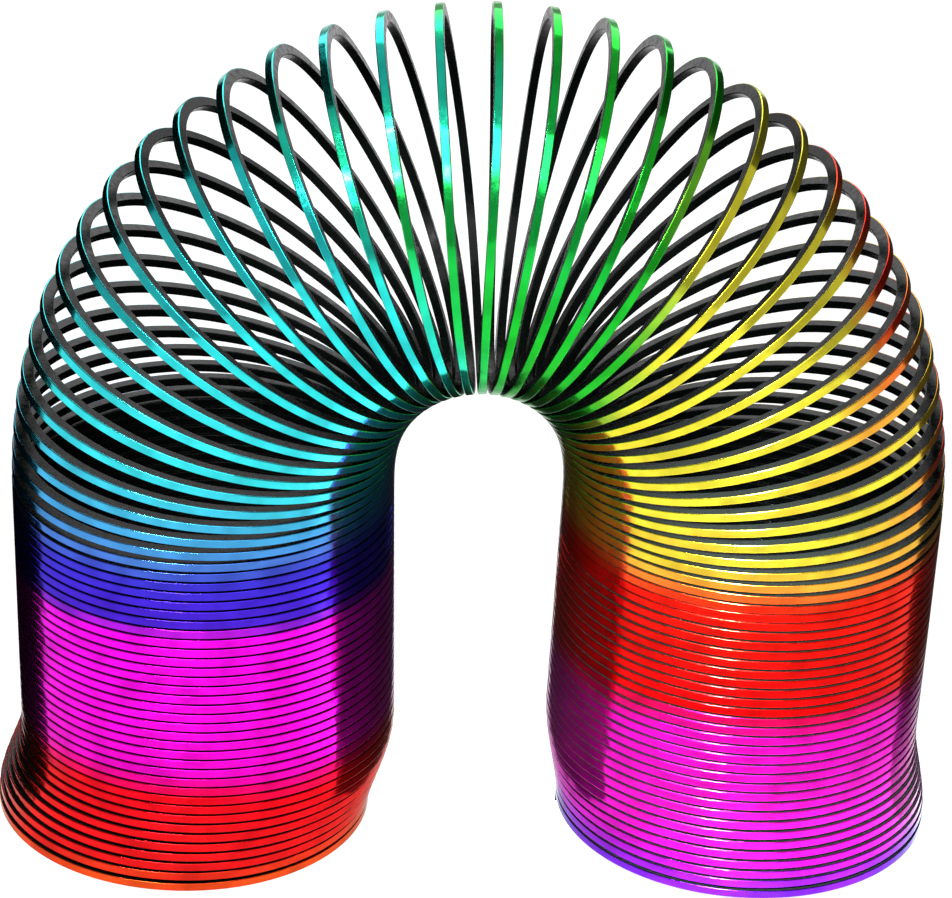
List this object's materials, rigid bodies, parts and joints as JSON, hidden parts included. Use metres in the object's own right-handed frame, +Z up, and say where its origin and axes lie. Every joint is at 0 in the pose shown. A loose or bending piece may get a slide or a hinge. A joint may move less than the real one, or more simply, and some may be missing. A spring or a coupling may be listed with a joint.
{
  "type": "spring coil toy",
  "caption": "Rainbow spring coil toy of one flat-wound metallised plastic strip, standing on its two ends as an arch that can roll up and stretch.",
  "frame": {"origin": "on the table, under the middle of the arch", "axes": "+X from the left foot to the right foot, +Y to the back, +Z up"},
  "size_m": [0.188, 0.075, 0.1714],
  "materials": {
    "rainbow_magenta": "vacuum metallised and tinted, mirror gloss",
    "rainbow_violet": "vacuum metallised and tinted, mirror gloss",
    "rainbow_blue": "vacuum metallised and tinted, mirror gloss",
    "rainbow_cyan": "vacuum metallised and tinted, mirror gloss",
    "rainbow_green": "vacuum metallised and tinted, mirror gloss",
    "rainbow_yellow": "vacuum metallised and tinted, mirror gloss",
    "rainbow_orange": "vacuum metallised and tinted, mirror gloss",
    "rainbow_red": "vacuum metallised and tinted, mirror gloss"
  },
  "bodies": {
    "left_foot_coil": {"left_foot_coil": "rainbow_magenta"},
    "left_lower_coil": {"left_lower_coil": "rainbow_magenta"},
    "left_middle_coil": {"left_middle_coil": "rainbow_violet"},
    "left_upper_coil": {"left_upper_coil": "rainbow_violet"},
    "arch_turn_01": {"arch_turn_01": "rainbow_blue"},
    "arch_turn_02": {"arch_turn_02": "rainbow_blue"},
    "arch_turn_03": {"arch_turn_03": "rainbow_blue"},
    "arch_turn_04": {"arch_turn_04": "rainbow_blue"},
    "arch_turn_05": {"arch_turn_05": "rainbow_blue"},
    "arch_turn_06": {"arch_turn_06": "rainbow_blue"},
    "arch_turn_07": {"arch_turn_07": "rainbow_blue"},
    "arch_turn_08": {"arch_turn_08": "rainbow_blue"},
    "arch_turn_09": {"arch_turn_09": "rainbow_cyan"},
    "arch_turn_10": {"arch_turn_10": "rainbow_cyan"},
    "arch_turn_11": {"arch_turn_11": "rainbow_cyan"},
    "arch_turn_12": {"arch_turn_12": "rainbow_cyan"},
    "arch_turn_13": {"arch_turn_13": "rainbow_cyan"},
    "arch_turn_14": {"arch_turn_14": "rainbow_cyan"},
    "arch_turn_15": {"arch_turn_15": "rainbow_cyan"},
    "arch_turn_16": {"arch_turn_16": "rainbow_cyan"},
    "arch_turn_17": {"arch_turn_17": "rainbow_cyan"},
    "arch_turn_18": {"arch_turn_18": "rainbow_green"},
    "arch_turn_19": {"arch_turn_19": "rainbow_green"},
    "arch_turn_20": {"arch_turn_20": "rainbow_green"},
    "arch_turn_21": {"arch_turn_21": "rainbow_green"},
    "arch_turn_22": {"arch_turn_22": "rainbow_green"},
    "arch_turn_23": {"arch_turn_23": "rainbow_green"},
    "arch_turn_24": {"arch_turn_24": "rainbow_green"},
    "arch_turn_25": {"arch_turn_25": "rainbow_green"},
    "arch_turn_26": {"arch_turn_26": "rainbow_green"},
    "arch_turn_27": {"arch_turn_27": "rainbow_green"},
    "arch_turn_28": {"arch_turn_28": "rainbow_green"},
    "arch_turn_29": {"arch_turn_29": "rainbow_green"},
    "arch_turn_30": {"arch_turn_30": "rainbow_green"},
    "arch_turn_31": {"arch_turn_31": "rainbow_green"},
    "arch_turn_32": {"arch_turn_32": "rainbow_green"},
    "arch_turn_33": {"arch_turn_33": "rainbow_green"},
    "arch_turn_34": {"arch_turn_34": "rainbow_green"},
    "arch_turn_35": {"arch_turn_35": "rainbow_green"},
    "arch_turn_36": {"arch_turn_36": "rainbow_green"},
    "arch_turn_37": {"arch_turn_37": "rainbow_yellow"},
    "arch_turn_38": {"arch_turn_38": "rainbow_yellow"},
    "arch_turn_39": {"arch_turn_39": "rainbow_yellow"},
    "arch_turn_40": {"arch_turn_40": "rainbow_yellow"},
    "arch_turn_41": {"arch_turn_41": "rainbow_yellow"},
    "right_upper_coil": {"arch_turn_42": "rainbow_yellow", "right_upper_coil": "rainbow_orange"},
    "right_middle_coil": {"right_middle_coil": "rainbow_red"},
    "right_lower_coil": {"right_lower_coil": "rainbow_magenta"},
    "right_foot_coil": {"right_foot_coil": "rainbow_magenta"}
  },
  "joints": [
    {"name": "left_leg_stretch", "type": "slide", "parent": "left_foot_coil", "child": "left_lower_coil", "axis": [-0.0262, 0, 0.9997], "range_m": [0, 0.018], "stiffness_N_per_m": 6},
    {"name": "left_leg_stretch_2", "type": "slide", "parent": "left_lower_coil", "child": "left_middle_coil", "axis": [-0.0262, 0, 0.9997], "range_m": [0, 0.018], "stiffness_N_per_m": 6},
    {"name": "left_leg_stretch_3", "type": "slide", "parent": "left_middle_coil", "child": "left_upper_coil", "axis": [-0.0262, 0, 0.9997], "range_m": [0, 0.018], "stiffness_N_per_m": 6},
    {"name": "left_haunch_bend_01", "type": "hinge", "parent": "left_upper_coil", "child": "arch_turn_01", "pos_m": [-0.01557, 0, 0.06992], "axis": [0, -1, 0], "range_deg": [0, 0.138]},
    {"name": "left_haunch_bend_02", "type": "hinge", "parent": "arch_turn_01", "child": "arch_turn_02", "pos_m": [-0.01562, 0, 0.07172], "axis": [0, -1, 0], "range_deg": [0, 0.5768]},
    {"name": "left_haunch_bend_03", "type": "hinge", "parent": "arch_turn_02", "child": "arch_turn_03", "pos_m": [-0.01564, 0, 0.07352], "axis": [0, -1, 0], "range_deg": [0, 1.1]},
    {"name": "left_haunch_bend_04", "type": "hinge", "parent": "arch_turn_03", "child": "arch_turn_04", "pos_m": [-0.01563, 0, 0.07532], "axis": [0, -1, 0], "range_deg": [0, 1.66]},
    {"name": "left_haunch_bend_05", "type": "hinge", "parent": "arch_turn_04", "child": "arch_turn_05", "pos_m": [-0.01556, 0, 0.07712], "axis": [0, -1, 0], "range_deg": [0, 2.23]},
    {"name": "left_haunch_bend_06", "type": "hinge", "parent": "arch_turn_05", "child": "arch_turn_06", "pos_m": [-0.01543, 0, 0.07892], "axis": [0, -1, 0], "range_deg": [0, 2.79]},
    {"name": "left_haunch_bend_07", "type": "hinge", "parent": "arch_turn_06", "child": "arch_turn_07", "pos_m": [-0.0152, 0, 0.0807], "axis": [0, -1, 0], "range_deg": [0, 3.33]},
    {"name": "left_haunch_bend_08", "type": "hinge", "parent": "arch_turn_07", "child": "arch_turn_08", "pos_m": [-0.01487, 0, 0.08247], "axis": [0, -1, 0], "range_deg": [0, 3.86]},
    {"name": "left_haunch_bend_09", "type": "hinge", "parent": "arch_turn_08", "child": "arch_turn_09", "pos_m": [-0.01441, 0, 0.08421], "axis": [0, -1, 0], "range_deg": [0, 4.35]},
    {"name": "left_haunch_bend_10", "type": "hinge", "parent": "arch_turn_09", "child": "arch_turn_10", "pos_m": [-0.01382, 0, 0.08591], "axis": [0, -1, 0], "range_deg": [0, 4.8]},
    {"name": "left_haunch_bend_11", "type": "hinge", "parent": "arch_turn_10", "child": "arch_turn_11", "pos_m": [-0.01309, 0, 0.08756], "axis": [0, -1, 0], "range_deg": [0, 5.22]},
    {"name": "left_haunch_bend_12", "type": "hinge", "parent": "arch_turn_11", "child": "arch_turn_12", "pos_m": [-0.0122, 0, 0.08912], "axis": [0, -1, 0], "range_deg": [0, 5.6]},
    {"name": "left_haunch_bend_13", "type": "hinge", "parent": "arch_turn_12", "child": "arch_turn_13", "pos_m": [-0.01116, 0, 0.09059], "axis": [0, -1, 0], "range_deg": [0, 5.93]},
    {"name": "left_haunch_bend", "type": "hinge", "parent": "arch_turn_13", "child": "arch_turn_14", "pos_m": [-0.00998, 0, 0.09195], "axis": [0, -1, 0], "range_deg": [0, 6.22]},
    {"name": "crown_bend_15", "type": "hinge", "parent": "arch_turn_14", "child": "arch_turn_15", "pos_m": [-0.00864, 0, 0.09316], "axis": [0, -1, 0], "range_deg": [0, 6.47]},
    {"name": "crown_bend_16", "type": "hinge", "parent": "arch_turn_15", "child": "arch_turn_16", "pos_m": [-0.00718, 0, 0.0942], "axis": [0, -1, 0], "range_deg": [0, 6.66]},
    {"name": "crown_bend_17", "type": "hinge", "parent": "arch_turn_16", "child": "arch_turn_17", "pos_m": [-0.0056, 0, 0.09507], "axis": [0, -1, 0], "range_deg": [0, 6.82]},
    {"name": "crown_bend_18", "type": "hinge", "parent": "arch_turn_17", "child": "arch_turn_18", "pos_m": [-0.00393, 0, 0.09573], "axis": [0, -1, 0], "range_deg": [0, 6.92]},
    {"name": "crown_bend_19", "type": "hinge", "parent": "arch_turn_18", "child": "arch_turn_19", "pos_m": [-0.00219, 0, 0.09619], "axis": [0, -1, 0], "range_deg": [0, 6.98]},
    {"name": "crown_bend", "type": "hinge", "parent": "arch_turn_19", "child": "arch_turn_20", "pos_m": [-0.0004, 0, 0.09642], "axis": [0, -1, 0], "range_deg": [0, 6.99]},
    {"name": "crown_bend_21", "type": "hinge", "parent": "arch_turn_20", "child": "arch_turn_21", "pos_m": [0.0014, 0, 0.09642], "axis": [0, -1, 0], "range_deg": [0, 6.97]},
    {"name": "crown_bend_22", "type": "hinge", "parent": "arch_turn_21", "child": "arch_turn_22", "pos_m": [0.00318, 0, 0.0962], "axis": [0, -1, 0], "range_deg": [0, 6.89]},
    {"name": "crown_bend_23", "type": "hinge", "parent": "arch_turn_22", "child": "arch_turn_23", "pos_m": [0.00493, 0, 0.09576], "axis": [0, -1, 0], "range_deg": [0, 6.78]},
    {"name": "crown_bend_24", "type": "hinge", "parent": "arch_turn_23", "child": "arch_turn_24", "pos_m": [0.00661, 0, 0.09511], "axis": [0, -1, 0], "range_deg": [0, 6.63]},
    {"name": "crown_bend_25", "type": "hinge", "parent": "arch_turn_24", "child": "arch_turn_25", "pos_m": [0.0082, 0, 0.09427], "axis": [0, -1, 0], "range_deg": [0, 6.43]},
    {"name": "crown_bend_26", "type": "hinge", "parent": "arch_turn_25", "child": "arch_turn_26", "pos_m": [0.00968, 0, 0.09325], "axis": [0, -1, 0], "range_deg": [0, 6.2]},
    {"name": "crown_bend_27", "type": "hinge", "parent": "arch_turn_26", "child": "arch_turn_27", "pos_m": [0.01104, 0, 0.09207], "axis": [0, -1, 0], "range_deg": [0, 5.94]},
    {"name": "crown_bend_28", "type": "hinge", "parent": "arch_turn_27", "child": "arch_turn_28", "pos_m": [0.01227, 0, 0.09075], "axis": [0, -1, 0], "range_deg": [0, 5.64]},
    {"name": "right_haunch_bend", "type": "hinge", "parent": "arch_turn_28", "child": "arch_turn_29", "pos_m": [0.01335, 0, 0.08931], "axis": [0, -1, 0], "range_deg": [0, 5.31]},
    {"name": "right_haunch_bend_30", "type": "hinge", "parent": "arch_turn_29", "child": "arch_turn_30", "pos_m": [0.0143, 0, 0.08778], "axis": [0, -1, 0], "range_deg": [0, 4.96]},
    {"name": "right_haunch_bend_31", "type": "hinge", "parent": "arch_turn_30", "child": "arch_turn_31", "pos_m": [0.0151, 0, 0.08617], "axis": [0, -1, 0], "range_deg": [0, 4.59]},
    {"name": "right_haunch_bend_32", "type": "hinge", "parent": "arch_turn_31", "child": "arch_turn_32", "pos_m": [0.01577, 0, 0.0845], "axis": [0, -1, 0], "range_deg": [0, 4.19]},
    {"name": "right_haunch_bend_33", "type": "hinge", "parent": "arch_turn_32", "child": "arch_turn_33", "pos_m": [0.01631, 0, 0.08278], "axis": [0, -1, 0], "range_deg": [0, 3.77]},
    {"name": "right_haunch_bend_34", "type": "hinge", "parent": "arch_turn_33", "child": "arch_turn_34", "pos_m": [0.01673, 0, 0.08103], "axis": [0, -1, 0], "range_deg": [0, 3.34]},
    {"name": "right_haunch_bend_35", "type": "hinge", "parent": "arch_turn_34", "child": "arch_turn_35", "pos_m": [0.01704, 0, 0.07926], "axis": [0, -1, 0], "range_deg": [0, 2.9]},
    {"name": "right_haunch_bend_36", "type": "hinge", "parent": "arch_turn_35", "child": "arch_turn_36", "pos_m": [0.01727, 0, 0.07747], "axis": [0, -1, 0], "range_deg": [0, 2.45]},
    {"name": "right_haunch_bend_37", "type": "hinge", "parent": "arch_turn_36", "child": "arch_turn_37", "pos_m": [0.01741, 0, 0.07568], "axis": [0, -1, 0], "range_deg": [0, 2.01]},
    {"name": "right_haunch_bend_38", "type": "hinge", "parent": "arch_turn_37", "child": "arch_turn_38", "pos_m": [0.01749, 0, 0.07388], "axis": [0, -1, 0], "range_deg": [0, 1.57]},
    {"name": "right_haunch_bend_39", "type": "hinge", "parent": "arch_turn_38", "child": "arch_turn_39", "pos_m": [0.01752, 0, 0.07208], "axis": [0, -1, 0], "range_deg": [0, 1.14]},
    {"name": "right_haunch_bend_40", "type": "hinge", "parent": "arch_turn_39", "child": "arch_turn_40", "pos_m": [0.01751, 0, 0.07028], "axis": [0, -1, 0], "range_deg": [0, 0.7434]},
    {"name": "right_haunch_bend_41", "type": "hinge", "parent": "arch_turn_40", "child": "arch_turn_41", "pos_m": [0.01748, 0, 0.06848], "axis": [0, -1, 0], "range_deg": [0, 0.3818]},
    {"name": "right_haunch_bend_42", "type": "hinge", "parent": "arch_turn_41", "child": "right_upper_coil", "pos_m": [0.01744, 0, 0.06668], "axis": [0, -1, 0], "range_deg": [0, 0.0899]},
    {"name": "right_leg_stretch", "type": "slide", "parent": "right_upper_coil", "child": "right_middle_coil", "axis": [-0.0262, 0, -0.9997], "range_m": [0, 0.018], "stiffness_N_per_m": 6},
    {"name": "right_leg_stretch_2", "type": "slide", "parent": "right_middle_coil", "child": "right_lower_coil", "axis": [-0.0262, 0, -0.9997], "range_m": [0, 0.018], "stiffness_N_per_m": 6},
    {"name": "right_leg_stretch_3", "type": "slide", "parent": "right_lower_coil", "child": "right_foot_coil", "axis": [-0.0262, 0, -0.9997], "range_m": [0, 0.018], "stiffness_N_per_m": 6}
  ],
  "couplings": [
    {"joint": "left_leg_stretch_2", "follows": "left_leg_stretch", "ratio": 1},
    {"joint": "left_leg_stretch_3", "follows": "left_leg_stretch", "ratio": 1},
    {"joint": "left_haunch_bend_01", "follows": "left_haunch_bend", "ratio": 0.021859},
    {"joint": "left_haunch_bend_02", "follows": "left_haunch_bend", "ratio": 0.092401},
    {"joint": "left_haunch_bend_03", "follows": "left_haunch_bend", "ratio": 0.17649},
    {"joint": "left_haunch_bend_04", "follows": "left_haunch_bend", "ratio": 0.26615},
    {"joint": "left_haunch_bend_05", "follows": "left_haunch_bend", "ratio": 0.35742},
    {"joint": "left_haunch_bend_06", "follows": "left_haunch_bend", "ratio": 0.44781},
    {"joint": "left_haunch_bend_07", "follows": "left_haunch_bend", "ratio": 0.53557},
    {"joint": "left_haunch_bend_08", "follows": "left_haunch_bend", "ratio": 0.61944},
    {"joint": "left_haunch_bend_09", "follows": "left_haunch_bend", "ratio": 0.69844},
    {"joint": "left_haunch_bend_10", "follows": "left_haunch_bend", "ratio": 0.77185},
    {"joint": "left_haunch_bend_11", "follows": "left_haunch_bend", "ratio": 0.83909},
    {"joint": "left_haunch_bend_12", "follows": "left_haunch_bend", "ratio": 0.89973},
    {"joint": "left_haunch_bend_13", "follows": "left_haunch_bend", "ratio": 0.95344},
    {"joint": "crown_bend_15", "follows": "crown_bend", "ratio": 0.92425},
    {"joint": "crown_bend_16", "follows": "crown_bend", "ratio": 0.95256},
    {"joint": "crown_bend_17", "follows": "crown_bend", "ratio": 0.97426},
    {"joint": "crown_bend_18", "follows": "crown_bend", "ratio": 0.98935},
    {"joint": "crown_bend_19", "follows": "crown_bend", "ratio": 0.9979},
    {"joint": "crown_bend_21", "follows": "crown_bend", "ratio": 0.99578},
    {"joint": "crown_bend_22", "follows": "crown_bend", "ratio": 0.9854},
    {"joint": "crown_bend_23", "follows": "crown_bend", "ratio": 0.96906},
    {"joint": "crown_bend_24", "follows": "crown_bend", "ratio": 0.94696},
    {"joint": "crown_bend_25", "follows": "crown_bend", "ratio": 0.91936},
    {"joint": "crown_bend_26", "follows": "crown_bend", "ratio": 0.88653},
    {"joint": "crown_bend_27", "follows": "crown_bend", "ratio": 0.84877},
    {"joint": "crown_bend_28", "follows": "crown_bend", "ratio": 0.8064},
    {"joint": "right_haunch_bend_30", "follows": "right_haunch_bend", "ratio": 0.93354},
    {"joint": "right_haunch_bend_31", "follows": "right_haunch_bend", "ratio": 0.86251},
    {"joint": "right_haunch_bend_32", "follows": "right_haunch_bend", "ratio": 0.78752},
    {"joint": "right_haunch_bend_33", "follows": "right_haunch_bend", "ratio": 0.70919},
    {"joint": "right_haunch_bend_34", "follows": "right_haunch_bend", "ratio": 0.62823},
    {"joint": "right_haunch_bend_35", "follows": "right_haunch_bend", "ratio": 0.5454},
    {"joint": "right_haunch_bend_36", "follows": "right_haunch_bend", "ratio": 0.46157},
    {"joint": "right_haunch_bend_37", "follows": "right_haunch_bend", "ratio": 0.37773},
    {"joint": "right_haunch_bend_38", "follows": "right_haunch_bend", "ratio": 0.29506},
    {"joint": "right_haunch_bend_39", "follows": "right_haunch_bend", "ratio": 0.21501},
    {"joint": "right_haunch_bend_40", "follows": "right_haunch_bend", "ratio": 0.13951},
    {"joint": "right_haunch_bend_41", "follows": "right_haunch_bend", "ratio": 0.071465},
    {"joint": "right_haunch_bend_42", "follows": "right_haunch_bend", "ratio": 0.01654},
    {"joint": "right_leg_stretch_2", "follows": "right_leg_stretch", "ratio": 1},
    {"joint": "right_leg_stretch_3", "follows": "right_leg_stretch", "ratio": 1}
  ]
}
